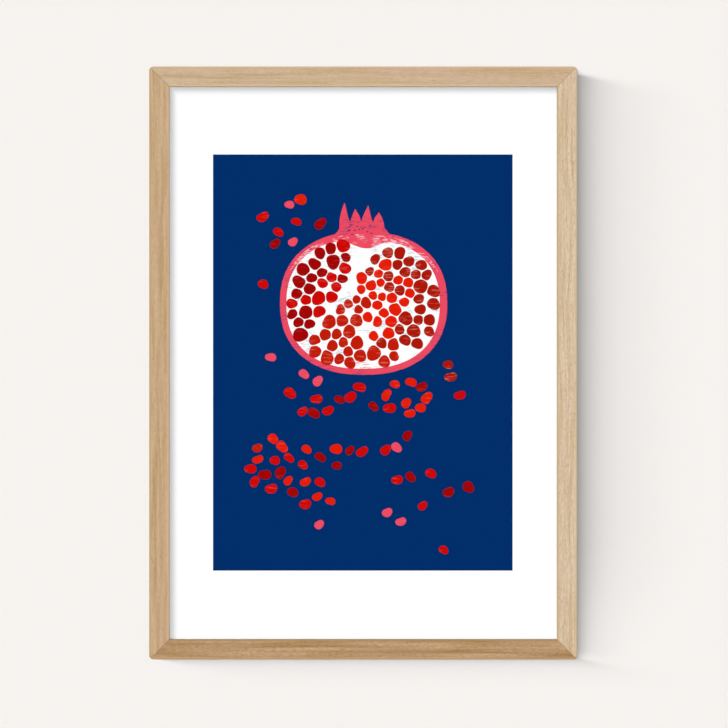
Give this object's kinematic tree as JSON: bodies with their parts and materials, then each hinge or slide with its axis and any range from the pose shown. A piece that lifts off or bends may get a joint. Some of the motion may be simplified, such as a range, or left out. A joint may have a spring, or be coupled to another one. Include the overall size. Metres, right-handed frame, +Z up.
{
  "type": "framed art print",
  "caption": "Rectangular light oak picture frame with a white-bordered printed sheet behind clear glazing, closed at the back by a board under turn buttons, hung by a sawtooth hanger.",
  "frame": {"origin": "the middle notch of the sawtooth hanger, on the wall plane, where the wall nail carries the frame", "axes": "+Z up, +Y out of the back towards the wall, the picture faces -Y, and +X is to the right of someone looking at the picture"},
  "size_m": [0.319, 0.0226, 0.442],
  "materials": {
    "oak_top": "light oak, oiled, grain along the rail",
    "oak_bottom": "light oak, oiled, a darker board with cathedral grain",
    "oak_left": "light oak, oiled, grain along the rail",
    "oak_right": "light oak, oiled, the palest board, with short pores",
    "clear_glass": "clear, flat, polished",
    "art_paper": "matt white art paper with a printed dark blue field and red inks",
    "corrugated_card": "brown corrugated card",
    "fibreboard": "thin brown fibreboard, smooth",
    "nickelled_steel": "nickel-plated sheet steel",
    "zinc_steel": "zinc-plated steel",
    "felt": "grey pressed felt"
  },
  "bodies": {
    "frame": {"top_rail": "oak_top", "bottom_rail": "oak_bottom", "left_rail": "oak_left", "right_rail": "oak_right", "glazing": "clear_glass", "art_print": "art_paper", "filler_board": "corrugated_card", "backing_board": "fibreboard", "corner_nail_top_left": "zinc_steel", "corner_nail_top_right": "zinc_steel", "corner_nail_bottom_left": "zinc_steel", "corner_nail_bottom_right": "zinc_steel", "button_screw_top_left": "zinc_steel", "button_screw_top_right": "zinc_steel", "button_screw_bottom_left": "zinc_steel", "button_screw_bottom_right": "zinc_steel", "button_screw_left_upper": "zinc_steel", "button_screw_left_lower": "zinc_steel", "button_screw_right_upper": "zinc_steel", "button_screw_right_lower": "zinc_steel", "sawtooth_hanger": "nickelled_steel", "hanger_nail_left": "nickelled_steel", "hanger_nail_right": "nickelled_steel", "wall_bumper_left": "felt", "wall_bumper_right": "felt"},
    "button_top_left": {"turn_button_top_left": "nickelled_steel"},
    "button_top_right": {"turn_button_top_right": "nickelled_steel"},
    "button_bottom_left": {"turn_button_bottom_left": "nickelled_steel"},
    "button_bottom_right": {"turn_button_bottom_right": "nickelled_steel"},
    "button_left_upper": {"turn_button_left_upper": "nickelled_steel"},
    "button_left_lower": {"turn_button_left_lower": "nickelled_steel"},
    "button_right_upper": {"turn_button_right_upper": "nickelled_steel"},
    "button_right_lower": {"turn_button_right_lower": "nickelled_steel"}
  },
  "joints": [
    {"name": "button_top_left_turn", "type": "hinge", "parent": "frame", "child": "button_top_left", "pos_m": [-0.0795, -0.0036, 0.003], "axis": [0, 1, 0], "continuous": true},
    {"name": "button_top_right_turn", "type": "hinge", "parent": "frame", "child": "button_top_right", "pos_m": [0.0795, -0.0036, 0.003], "axis": [0, 1, 0], "continuous": true},
    {"name": "button_bottom_left_turn", "type": "hinge", "parent": "frame", "child": "button_bottom_left", "pos_m": [-0.0795, -0.0036, -0.429], "axis": [0, 1, 0], "continuous": true},
    {"name": "button_bottom_right_turn", "type": "hinge", "parent": "frame", "child": "button_bottom_right", "pos_m": [0.0795, -0.0036, -0.429], "axis": [0, 1, 0], "continuous": true},
    {"name": "button_left_upper_turn", "type": "hinge", "parent": "frame", "child": "button_left_upper", "pos_m": [-0.1545, -0.0036, -0.072], "axis": [0, 1, 0], "continuous": true},
    {"name": "button_left_lower_turn", "type": "hinge", "parent": "frame", "child": "button_left_lower", "pos_m": [-0.1545, -0.0036, -0.354], "axis": [0, 1, 0], "continuous": true},
    {"name": "button_right_upper_turn", "type": "hinge", "parent": "frame", "child": "button_right_upper", "pos_m": [0.1545, -0.0036, -0.072], "axis": [0, 1, 0], "continuous": true},
    {"name": "button_right_lower_turn", "type": "hinge", "parent": "frame", "child": "button_right_lower", "pos_m": [0.1545, -0.0036, -0.354], "axis": [0, 1, 0], "continuous": true}
  ]
}
